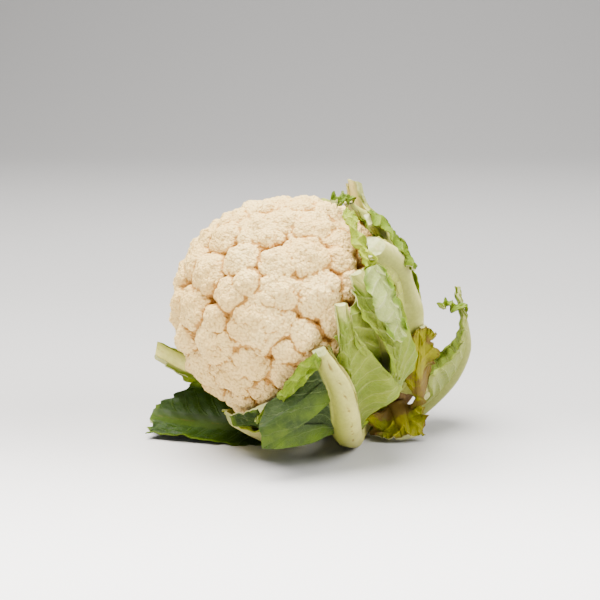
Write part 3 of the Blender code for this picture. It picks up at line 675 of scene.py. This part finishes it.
leaves = (
    # innermost ring
    leaf(
        "leaf_small_inner",
        ((28, 20, -63), (32, 46, -55), (37, 66, -36), (41, 80, -12), (44, 84, 8)),
        9, 12, rib=(10, 6), ridge=(3, 2), kind="pale", skin="lime",
    ),
    leaf(
        "leaf_inner_right",
        ((-14, 20, -63), (-4, 50, -57), (6, 76, -38), (16, 86, -16), (22, 85, 0)),
        34, 18, rib=(16, 11),
    ),
    leaf(
        "leaf_inner_top",
        ((70, 20, -63), (72, 42, -54), (74, 60, -37), (76, 74, -13), (78, 83, 12)),
        14, 14, rib=(12, 11), ridge=(3, 3), bare=(0.15, 0.15), skin="green",
    ),
    leaf(
        "leaf_inner_front",
        ((-65, 20, -63), (-62, 48, -56), (-58, 72, -36), (-53, 84, -10), (-50, 86, 11)),
        36, 40, rib=(16, 9), shoulder=(0.02, 0.02), wave=(2.5, 2.6, 0.1), kind="dark",
    ),
    leaf(
        "leaf_inner_back",
        ((180, 20, -63), (-178, 50, -57), (-174, 72, -36), (-170, 84, -10), (-166, 86, 12)),
        38, 38, rib=(17, 11), wave=(3.0, 2.3, 0.5), ragged=3.0, far=True,
    ),
    # second ring
    leaf(
        "leaf_top",
        ((76, 21, -79), (79, 43, -69), (84, 59, -50), (88, 71, -30), (90, 82, -12), (90, 100, 7)),
        14, 24, rib=(14, 13), ridge=(4, 4), wave=(1.5, 2.5, 0.1), shoulder=(0.2, 0.25),
        bare=(0.2, 0.2), skin="cream",
    ),
    leaf(
        "leaf_folded",
        (
            (-26, 21, -79), (-20, 54, -74), (-8, 80, -58), (4, 91, -38), (14, 91, -16),
            (21, 88, -2), (27, 84, 10),
        ),
        8, 19, rib=(15, 12, 9, 7, 6, 5, 4, 4, 4, 9), ridge=(5, 2, 1.5, 1, 0.8, 0.8, 0.8, 0.8, 1, 3),
        curl=(60, 10), taper=(0.2, 0.1),
        shoulder=(0.1, 0.05),
    ),
    leaf(
        "leaf_lower_front",
        ((-73, 21, -79), (-80, 52, -68), (-84, 72, -44), (-87, 82, -20), (-88, 84, 3)),
        10, 11, rib=(16, 15), cup=(160, 160), shoulder=(0.0, 0.0), ragged=0.5, kind="pale",
    ),
    leaf(
        "leaf_under",
        ((-124, 21, -79), (25, 28, 18), (-5, 25, 9), (-38, 22, 6), (-72, 24, 8), (-101, 27, 12)),
        30, 30, on_table=True, rib=(15, 13), cup=(20, 300), wave=(3.0, 1.7, 0.3), taper=(0.1, 0.4),
        shoulder=(0.15, -0.02), kind="dark", ridge=(3, 1.6),
    ),
    leaf(
        "leaf_back_middle",
        ((124, 21, -79), (130, 50, -74), (140, 76, -52), (148, 88, -24), (155, 88, 10)),
        44, 44, rib=(18, 14), wave=(4.0, 2.4, 0.6), ragged=4.0, far=True,
    ),
    # third ring
    leaf(
        "leaf_upper",
        ((42, 23, -93), (48, 34, -84), (56, 50, -66), (62, 64, -44), (64, 79, -20), (62, 87, 3)),
        14, 17, rib=(14, 12), ridge=(4, 4), wave=(1.5, 2.6, 0.2), shoulder=(0.1, 0.3),
        bare=(0.1, 0.25), ragged=3.0,
    ),
    leaf(
        "leaf_long_rib",
        (
            (-8, 23, -93), (6, 32, -89), (17, 38, -80), (31, 44, -66), (42, 56, -50), (46, 72, -26),
            (40, 83, 8),
        ),
        16, 3, rib=(15, 14), ridge=(7, 7), taper=(0.6, 0.1), wave=(2.0, 2.4, 0.5), ragged=1.0,
        kind="pale",
    ),
    leaf(
        "leaf_front_right",
        (
            (-80, 23, -93), (-68, 44, -86), (-50, 64, -70), (-33, 81, -46), (-20, 87, -26),
            (-8, 87, -8), (3, 86, 5), (11, 84, 13),
        ),
        18, 38, grip=0.32, rib=(15, 12, 10, 8, 7, 6, 5, 4, 4, 7),
        ridge=(5, 0.7, 0.6, 0.6, 0.6, 0.6, 0.6, 0.6, 0.7, 2), wave=(1.5, 1.6, 0.4),
        taper=(0.85, 0.6), shoulder=(0.1, 0.08), bare=(0.15, 0.15),
    ),
    leaf(
        "leaf_front_rib",
        (
            (-117, 23, -96), (-97, 40, -88), (-72, 54, -75), (-51, 70, -60), (-34, 84, -40),
            (-20, 87, -15), (-11, 83, 10),
        ),
        82, 1, grip=0.6, rib=(18, 18, 17, 8), ridge=(7, 7, 7, 4), curl=(115, 0),
        wave=(3.0, 1.9, 0.35), shoulder=(0.16, 0.0), taper=(0.0, 0.15), bare=(0.08, 0.0),
        ragged=3.0, skin="deep", late=1.7,
    ),
    leaf(
        "leaf_back_upper",
        ((92, 23, -93), (100, 52, -84), (110, 72, -60), (118, 82, -30), (124, 87, 0)),
        26, 35, rib=(17, 14), wave=(4.0, 2.2, 0.8), ragged=3.0, far=True,
    ),
    leaf(
        "leaf_back_low",
        ((147, 23, -93), (156, 58, -87), (164, 84, -60), (172, 95, -24), (178, 94, 14)),
        42, 44, rib=(18, 15), wave=(4.5, 2.5, 0.15), shoulder=(0.2, 0.16), ragged=4.0, far=True,
    ),
    leaf(
        "leaf_left",
        (
            (-162, 23, -93), (-156, 58, -83), (-148, 84, -56), (-142, 93, -24), (-136, 96, 5),
            (-134, 98, 26), (-134, 98, 45),
        ),
        10, 15, rib=(18, 12), ridge=(7, 6), wave=(3.0, 2.0, 0.7), taper=(0.9, 0.85),
    ),
    # old outer leaves at the stalk's cut end
    leaf(
        "leaf_old_upper",
        ((35, 24, -104), (91, 2, 57), (92, -7, 69), (92, -7, 87)),
        9, 9, on_table=True, rib=(6, 4), ridge=(2, 1), cup=(300, 300), faces=(92, 120, 60),
        search=10.0, grip=0.0, ragged=3.0, kind="yellow",
    ),
    leaf(
        "leaf_outer_right",
        (
            (-100, 24, -105), (73, 33, 5), (84, 35, 9), (100, 40, 20), (115, 42, 36), (124, 42, 54),
            (126, 42, 71), (123, 42, 88), (120, 42, 104),
        ),
        34, 22, on_table=True, rib=(13, 13, 13, 13, 12, 4, 3), ridge=(5, 6, 6, 6, 5, 0.7, 0.5),
        cup=(26, 40), faces=(40, 36, 80),
        search=25.0, foot_gap=1.6, grip=0.2, taper=(0.9, 0.6), kind="outer",
    ),
    leaf(
        "leaf_old_low",
        ((-40, 24, -103), (78, 9, 17), (81, 1, 9), (82, -6, 3)),
        14, 19, on_table=True, rib=(12, 6), ridge=(3, 1), cup=(300, 300), faces=(78, 100, -20),
        search=10.0, grip=0.0, ragged=3.0, kind="yellow",
    ),
)


def curveThrough(stops, count):
    stops = np.asarray(stops, float)
    ends = np.concatenate(([2 * stops[0] - stops[1]], stops, [2 * stops[-1] - stops[-2]]))
    t = (np.arange(24) / 24.0)[:, None]
    fine = [
        0.5 * (
            2 * p1 + (p2 - p0) * t + (2 * p0 - 5 * p1 + 4 * p2 - p3) * t**2
            + (3 * p1 - p0 - 3 * p2 + p3) * t**3
        )
        for p0, p1, p2, p3 in zip(ends, ends[1:], ends[2:], ends[3:])
    ]
    fine = np.concatenate(fine + [stops[-1:]])
    length = np.concatenate(([0.0], np.cumsum(np.linalg.norm(np.diff(fine, axis=0), axis=1))))
    even = np.linspace(0.0, length[-1], count + 1)
    return np.stack([np.interp(even, length, fine[:, k]) for k in range(3)], axis=1), length[-1]


def routePoints(shape):
    stops = np.array(shape["route"], float)
    points = stops + tableShift if shape["on_table"] else headPoint(*stops.T)
    if shape["loose"]:
        return points
    turn, _, along = stops[0]
    points[0] = stalkCentre(along) + (headPoint(turn, 1.0, 0.0) - centre) * (
        stalkRadius(along) + shape["foot_gap"]
    )
    return points


def noiseLine(draw, count, steps):
    # smooth random values between -1 and 1
    knots = draw.uniform(-1.0, 1.0, steps + 3)
    x = np.linspace(0.0, steps, count)
    k = np.minimum(x.astype(int), steps - 1)
    t = smooth(x - k)
    return knots[k] * (1.0 - t) + knots[k + 1] * t


def noiseSheet(draw, x, y, cell):
    # smooth random values over a grid of places in mm
    gx, gy = (x - x.min()) / cell, (y - y.min()) / cell
    knots = draw.uniform(-1.0, 1.0, (int(gx.max()) + 3, int(gy.max()) + 3))
    i, j = gx.astype(int), gy.astype(int)
    s, t = smooth(gx - i), smooth(gy - j)
    top = knots[i, j] * (1 - s) + knots[i + 1, j] * s
    return top * (1 - t) + (knots[i, j + 1] * (1 - s) + knots[i + 1, j + 1] * s) * t


def leafSurface(shape):
    rows, ribCols, bladeCols = grid["rows"], grid["rib"], grid["blade"]
    if shape["far"]:
        rows, bladeCols = rows * 2 // 3, bladeCols * 2 // 3
    if shape["loose"]:
        rows, ribCols, bladeCols = 60, 2, 10
    spine, length = curveThrough(routePoints(shape), 60)
    ahead = unit(np.gradient(spine, axis=0))
    inward = np.array(shape["faces"]) + tableShift - spine
    inward = unit(inward - np.sum(inward * ahead, axis=1)[:, None] * ahead)
    across = np.cross(inward, ahead)
    seed = len(shape["name"]) * 101 + int(abs(shape["route"][-1][0]))
    draw, extra = np.random.default_rng(seed), np.random.default_rng(seed + 5000)
    u = np.linspace(0.0, 1.0, rows)
    stops = np.linspace(0.0, 1.0, len(spine))
    halfRib = np.interp(u, np.linspace(0.0, 1.0, len(shape["rib"])), shape["rib"]) / 2.0
    ridge = np.interp(u, np.linspace(0.0, 1.0, len(shape["ridge"])), shape["ridge"])
    grown = smooth((u - shape["grip"]) / 0.4)
    coarse = np.linspace(0.0, 1.0, 10)
    depth, count, phase = shape["wave"]
    made = {key: [] for key in ("place", "normal", "way", "thick", "rib", "edge", "across", "share")}
    for number, side in enumerate((-1.0, 1.0)):
        width = (shape["before"], shape["after"])[number]
        reach = width * grown ** shape["late"] * (1.0 - shape["taper"][number] * smooth((u - 0.45) / 0.55))
        if shape["bare"][number] > 0.0:
            reach = reach * smooth((1.0 - u) / shape["bare"][number])
        torn = np.interp(u, coarse, draw.uniform(-1.0, 1.0, 10))
        torn = shape["ragged"] * (
            torn + 0.35 * noiseLine(extra, rows, 26) + 0.16 * noiseLine(extra, rows, 60)
        )
        for _ in range(2):
            at, wide = extra.uniform(0.3, 0.95), extra.uniform(0.015, 0.035)
            torn = torn - 1.6 * shape["ragged"] * np.clip(1.0 - np.abs(u - at) / wide, 0.0, 1.0)
        reach = halfRib + np.maximum(reach + torn * grown, 0.8)
        uneven = 1.0 + 0.35 * noiseLine(extra, bladeCols + 1, 7) + 0.2 * noiseLine(extra, bladeCols + 1, 16)
        ruffle = noiseLine(extra, rows, max(4, int(length / 13.0)))
        ripple = noiseLine(extra, rows, max(8, int(length / 6.0)))
        endRuffle = noiseLine(extra, bladeCols + 1, 6) + 0.5 * noiseLine(extra, bladeCols + 1, 13)
        columns = [(True, s, 0) for s in np.linspace(0.0, 1.0, ribCols + 1)[number:]]
        columns += [(False, s, k + 1) for k, s in enumerate(np.linspace(0.0, 1.0, bladeCols + 1)[1:])]
        for onRib, share, col in columns:
            edge = 0.0 if onRib else share
            away = halfRib * share if onRib else halfRib + (reach - halfRib) * share
            rowAt = u * (
                1.0 - shape["shoulder"][number] * edge**2 * uneven[col]
                - 0.02 * min(1.0, 4.0 * edge) * (1.0 + endRuffle[-1 - col])
            )
            base, f, x = (
                np.stack([np.interp(rowAt, stops, line[:, k]) for k in range(3)], axis=1)
                for line in (spine, inward, across)
            )
            f, x = unit(f), unit(x) * side
            step = away / grid["walk"]
            place, normal = base, -f
            for k in range(grid["walk"]):
                gone = step * (k + 0.5)
                onBlade = np.clip((gone - halfRib) / np.maximum(reach - halfRib, 1.0), 0.0, 1.0)
                angle = gone / shape["cup"][number]
                angle = (
                    angle - math.radians(shape["curl"][number]) * smooth((onBlade - 0.35) / 0.65)
                )[:, None]
                place = place + step[:, None] * (np.cos(angle) * x + np.sin(angle) * f)
                normal = -np.cos(angle) * f + np.sin(angle) * x
            level = (away / shape["cup"][number])[:, None]
            way = -np.cos(level) * f + np.sin(level) * x
            wave = depth * edge**1.5 * grown * np.sin(2.0 * math.pi * (count * u + phase + 0.23 * side))
            wave = wave + shape["ruffle"] * grown * (1.5 * edge**2 * ruffle + 0.8 * edge**3 * ripple)
            wave = wave + 1.6 * shape["ruffle"] * smooth((u - 0.8) / 0.2) * min(
                1.0, 4.0 * edge
            ) * endRuffle[col]
            place = place + wave[:, None] * normal
            bladeThick = 1.0 - 0.45 * edge**2 + 0.9 * (
                1.0 - smooth(edge * (reach - halfRib) / 6.0)
            ) * (not onRib)
            thick = bladeThick + (ridge * math.sqrt(1.0 - share**2) + 0.9 if onRib else 0.0)
            thick = thick + (0.12 * np.cos(share * 15.0) * grown if onRib else 0.0)
            ribMark = np.ones(rows) if onRib else 1.0 - smooth((away - halfRib) / (2.5 + 0.22 * halfRib))
            ribMark = ribMark * smooth((ridge - 0.4) / 2.2)
            for key, value in zip(
                made, (place, normal, way, thick + 0.0 * u, ribMark, edge + 0.0 * u, side * away, rowAt)
            ):
                made[key].append(value)
        if number == 0:
            for key in made:
                made[key] = made[key][::-1]
    surface = {key: np.stack(value, axis=1) for key, value in made.items()}
    surface["length"] = length
    surface["grown"] = grown
    surface["draw"] = extra
    return surface


def layOver(place, ways, search, underneath):
    # moves the skin out until it clears what it lies on, and eases the rest after it
    moved = np.zeros(place.shape[:2])
    for turn in range(grid["rounds"]):
        need = np.zeros(place.shape[:2])
        now = place + moved[:, :, None] * ways
        start = (now + ways * search) * mm
        for index in np.ndindex(need.shape):
            for tree in underneath:
                spot, _, _, distance = tree.ray_cast(
                    Vector(start[index]), Vector(-ways[index]), (search + grid["gap"]) * mm
                )
                if spot is not None:
                    need[index] = max(need[index], search - distance / mm + grid["gap"])
        least = moved + need
        padded = np.pad(least, 1, mode="edge")
        least = np.max(
            [padded[i : i + least.shape[0], j : j + least.shape[1]] for i in range(3) for j in range(3)],
            axis=0
        )
        moved = least.copy()
        for _ in range(grid["easing"]):
            padded = np.pad(moved, 1, mode="edge")
            near = (padded[:-2, 1:-1] + padded[2:, 1:-1] + padded[1:-1, :-2] + padded[1:-1, 2:]) / 4.0
            moved = np.maximum(least, near)
            moved[0] = 0.0
        moved[0] = 0.0
    return place + moved[:, :, None] * ways


def makeLeaf(shape, underneath, host):
    s = leafSurface(shape)
    place, normal, thick = s["place"], s["normal"], s["thick"]
    draw = s["draw"]
    along, side = s["share"] * s["length"], np.sign(s["across"])
    bladeAway = np.maximum(np.abs(s["across"]) - 4.0, 0.0)
    sway = 1.6 * noiseSheet(draw, along, s["across"], 14.0)
    mapAlong = along + sway
    phase = mapAlong + 2.7 * side - 0.85 * np.abs(s["across"]) + 0.008 * s["across"] ** 2
    near = np.abs((phase + 5.5) % 11.0 - 5.5)
    onBlade = (1.0 - s["rib"]) * s["grown"][:, None]
    vein = np.exp(
        -((near / np.interp(bladeAway, (0, 45), (1.3, 0.6))) ** 2)
    ) * onBlade * (1.0 - 0.75 * s["edge"])
    quilt = (
        0.5 * noiseSheet(draw, along, s["across"], 6.0) + 1.0 * noiseSheet(draw, along, s["across"], 13.0)
    ) * onBlade
    place = place + normal * (0.55 * quilt + 0.5 * np.cos(near / 5.5 * math.pi) * onBlade)[:, :, None]
    place = layOver(place, unit(s["way"]), shape["search"], underneath)
    outer = place + normal * (thick + 0.9 * vein)[:, :, None]
    # the knife cuts the rib at a slant
    u = np.linspace(0.0, 1.0, len(place))
    back = 0.9 * np.maximum(thick[-1] - 1.3, 0.0) / s["length"]
    for c in range(outer.shape[1]):
        rowAt = u - back[c] * smooth((u - 0.72) / 0.28)
        outer[:, c] = np.stack([np.interp(rowAt, u, outer[:, c, k]) for k in range(3)], axis=1)
    for surface, held in () if shape["loose"] else ((place, True), (outer, False)):
        at = (surface[0] - centre) @ axis
        middle = stalkCentre(at)
        away = np.linalg.norm(surface[0] - middle, axis=1)
        least = stalkRadius(at) + shape["foot_gap"]
        settled = middle + unit(surface[0] - middle) * (least if held else np.maximum(away, least))[:, None]
        fade = (1.0 - smooth(u / 0.06))[:, None, None]
        surface += fade * (settled - surface[0])[None]
    if shape["loose"]:
        # a loose scrap is rooted in its own leaf where the two come nearest
        skinPoints = np.concatenate((place.reshape(-1, 3), outer.reshape(-1, 3)))
        found = [host.find_nearest(Vector(point * mm)) for point in skinPoints]
        nearest = min(range(len(found)), key=lambda i: found[i][3])
        move = np.array(found[nearest][0]) / mm - skinPoints[nearest]
        move += grid["root"] * move / max(np.linalg.norm(move), 1e-6)
        place += move
        outer += move
    lift = np.maximum(0.0, -np.minimum(place[:, :, 2], outer[:, :, 2]))
    place[:, :, 2] += lift
    outer[:, :, 2] += lift
    rows, cols = lift.shape
    skin = rows * cols
    points = np.concatenate((place.reshape(-1, 3), outer.reshape(-1, 3)))
    cell = (np.arange(rows - 1)[:, None] * cols + np.arange(cols - 1)[None]).reshape(-1, 1)
    inner = (cell + np.array([0, 1, cols + 1, cols])).tolist()
    faces = inner + [[i + skin for i in face[::-1]] for face in inner]
    kinds = [0] * len(faces)
    border = [c for c in range(cols)] + [r * cols + cols - 1 for r in range(1, rows)]
    border += [
        (rows - 1) * cols + c for c in range(cols - 2, -1, -1)
    ] + [r * cols for r in range(rows - 2, 0, -1)]
    for a, b in zip(border, border[1:] + border[:1]):
        faces.append([a, b, b + skin, a + skin])
        kinds.append(1 if min(a, b) >= (rows - 1) * cols else 0)
    piece = newPiece(
        shape["name"] + "_fine", points, faces, [leafSkins[shape.get("skin", shape["kind"])], cutSkin], kinds
    )
    mesh = piece.data
    mesh.set_sharp_from_angle(angle=math.radians(50.0))
    young = 1.0 - smooth((along / s["length"] - 0.1) / 0.45)
    margin = np.maximum(s["edge"], smooth((s["share"] - 0.88) / 0.12))
    marks = [
        np.stack((s["rib"], margin, np.full_like(s["rib"], inside), young), axis=-1).reshape(-1, 4)
        for inside in (1.0, 0.0)
    ]
    setMark(mesh, "leafMarks", np.concatenate(marks))
    layer = mesh.uv_layers.new(name="leafMap")
    flat = np.tile(np.stack((mapAlong, s["across"]), axis=-1).reshape(-1, 2) / 100.0, (2, 1))
    corners = np.empty(len(mesh.loops), int)
    mesh.loops.foreach_get("vertex_index", corners)
    layer.data.foreach_set("uv", flat[corners].astype(np.float32).ravel())
    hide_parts(shape["loose"] or shape["name"])
    return piece


# torn and ruffled bits of blade that stand out beside their leaves
scraps = (
    leaf(
        "leaf_small_inner_strip", ((32, 87, 2), (42, 87, 14), (50, 87, 19), (60, 86, 22)), 3, 3,
        loose="leaf_small_inner", skin="lime", rib=(2, 2), ridge=(0.3, 0.3), grip=-0.4, ragged=1.2,
        search=3, ruffle=1.2,
    ),
    leaf(
        "leaf_folded_flap", ((30, 96, 4), (22, 97, -8), (15, 98, -20), (8, 98, -34)), 9, 9,
        loose="leaf_folded", skin="flap", rib=(3, 2), ridge=(0.8, 0.4), grip=-0.2, ragged=2.0, search=12,
        curl=(70, 0), ruffle=1.0,
    ),
    leaf(
        "leaf_upper_edge", ((66, 92, 2), (61, 94, -8), (55, 93, -18), (49, 91, -28), (45, 89, -36)), 5, 8,
        loose="leaf_upper", skin="moss", rib=(2, 2), ridge=(0.3, 0.3), grip=-0.2, ragged=3.0, search=12,
        ruffle=1.0,
    ),
    leaf(
        "leaf_outer_right_tear", ((124, 42, 82), (118, 40, 87), (112, 37, 93), (107, 35, 90)), 3, 4,
        on_table=True,
        loose="leaf_outer_right", skin="moss", rib=(2, 1), ridge=(0.3, 0.3), grip=-0.2, ragged=2.0,
        search=3, ruffle=2.2,
        faces=(40, 36, 80),
    ),
    leaf(
        "leaf_inner_top_curl", ((78, 88, 9), (74, 88, 15), (70, 86, 21), (66, 83, 28)), 3, 4,
        loose="leaf_inner_top", skin="moss", rib=(2, 1), ridge=(0.3, 0.3), grip=-0.2, ragged=1.5, search=10,
        ruffle=1.8,
    ),
    leaf(
        "leaf_inner_front_edge", ((-13, 86, 8), (-22, 86, 9), (-33, 86, 9), (-46, 86, 7), (-60, 86, 4)), 3, 3,
        loose="leaf_inner_front", skin="moss", rib=(2, 2), ridge=(0.3, 0.3), grip=-0.2, ragged=2.0,
        search=3, ruffle=1.8,
    ),
)

triangles = 0
hosts = {}
for shape in leaves + scraps:
    piece = makeLeaf(shape, trees, hosts.get(shape["loose"]))
    trees.append(treeOf(piece))
    hosts[shape["name"]] = trees[-1]
    triangles += 2 * len(piece.data.polygons)
say(f"leaves: {triangles} triangles")

# floor, lights and camera

stage = {"back": 1.6, "bend": 1.2, "rise": 2.6, "wide": 4.0, "front": -3.0}


def makeFloor():
    profile = [(stage["front"], 0.0), (stage["back"], 0.0)]
    for k in range(1, 25):
        a = k / 24 * math.pi / 2
        profile.append((stage["back"] + stage["bend"] * math.sin(a), stage["bend"] * (1.0 - math.cos(a))))
    profile.append((stage["back"] + stage["bend"], stage["rise"]))
    points = [(x, y, z) for y, z in profile for x in (-stage["wide"], stage["wide"])]
    faces = [(2 * i, 2 * i + 1, 2 * i + 3, 2 * i + 2) for i in range(len(profile) - 1)]
    mesh = bpy.data.meshes.new("floor")
    mesh.from_pydata(points, [], faces)
    mesh.shade_smooth()
    material, t, shader = newMaterial("floorPaint")
    depth = node(t, "ShaderNodeSeparateXYZ", {0: node(t, "ShaderNodeTexCoord").outputs["Object"]}).outputs[1]
    # painted light: the floor is paler at the front and darker further back, standing in for the lamps'
    # fall-off
    near = ease(t, depth, -0.3, 0.1, 1.0, 0.43)
    far = ease(t, depth, -0.05, 0.6, 1.0, 0.78)
    paintedFalloffGrey = math2(t, "MULTIPLY", near, far)
    t.links.new(
        node(
            t, "ShaderNodeCombineColor",
            {0: paintedFalloffGrey, 1: math2(t, "MULTIPLY", paintedFalloffGrey, 0.985), 2: math2(t, "MULTIPLY", paintedFalloffGrey, 0.975)}
        ).outputs[0],
        shader.inputs["Base Color"]
    )
    shader.inputs["Roughness"].default_value = 0.85
    shader.inputs["Specular IOR Level"].default_value = 0.15
    mesh.materials.append(material)
    floor = bpy.data.objects.new("floor", mesh)
    bpy.context.scene.collection.objects.link(floor)


def aim(item, target):
    way = Vector(target) - item.location
    item.rotation_euler = way.to_track_quat("-Z", "Y").to_euler()


def addLight(name, place, target, size, power, colour=(1.0, 1.0, 1.0)):
    light = bpy.data.lights.new(name, "AREA")
    light.shape = "DISK"
    light.size = size
    light.energy = power
    light.color = colour
    item = bpy.data.objects.new(name, light)
    item.location = place
    bpy.context.scene.collection.objects.link(item)
    aim(item, target)


makeFloor()
addLight("keyLight", (-0.28, 0.0, 1.36), (0.0, -0.06, 0.08), 1.3, 112.0, (1.0, 0.975, 0.94))
addLight("fillLight", (1.1, -0.35, 0.9), (0.1, -0.1, 0.0), 0.9, 26.0)
addLight("backLight", (0.3, 1.0, 1.3), (0.0, 2.0, 0.2), 1.4, 27.0)
world = bpy.context.scene.world or bpy.data.worlds.new("studio")
bpy.context.scene.world = world
world.use_nodes = True
world.node_tree.nodes["Background"].inputs[0].default_value = (1.0, 0.985, 0.97, 1.0)
world.node_tree.nodes["Background"].inputs[1].default_value = 0.29

camera = bpy.data.objects.new("camera", bpy.data.cameras.new("camera"))
camera.data.lens = 100.0
camera.data.sensor_width = 36.0
camera.location = (-0.00485, -1.14538, 0.34497)
bpy.context.scene.collection.objects.link(camera)
aim(camera, (-0.00485, -0.00423, 0.10242))
bpy.context.scene.camera = camera

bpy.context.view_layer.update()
say("done")
